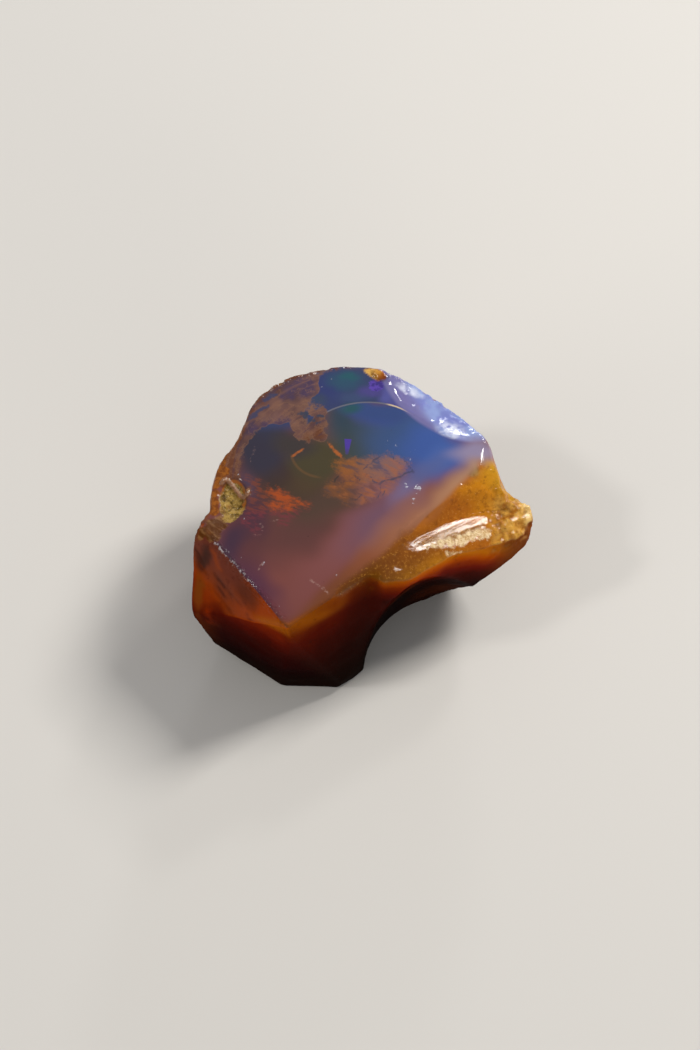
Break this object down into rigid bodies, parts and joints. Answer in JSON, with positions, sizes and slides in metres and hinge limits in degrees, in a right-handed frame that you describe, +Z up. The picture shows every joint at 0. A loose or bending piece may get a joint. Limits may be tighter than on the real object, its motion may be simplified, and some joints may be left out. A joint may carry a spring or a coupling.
{
  "type": "rough opal",
  "caption": "Rough chunk of translucent amber-brown opal with one broad, smooth, colourful window face, broken flanks and a flat resting face.",
  "frame": {"origin": "below the middle of the stone, on the surface that it rests on", "axes": "+Z up out of the window face, +X along the stone's length towards the wing, -Y towards the prow"},
  "size_m": [0.0494, 0.0422, 0.0268],
  "materials": {
    "opal": "translucent, glassy fracture faces, matt in the potch"
  },
  "bodies": {
    "root": {"opal": "opal"}
  },
  "joints": []
}
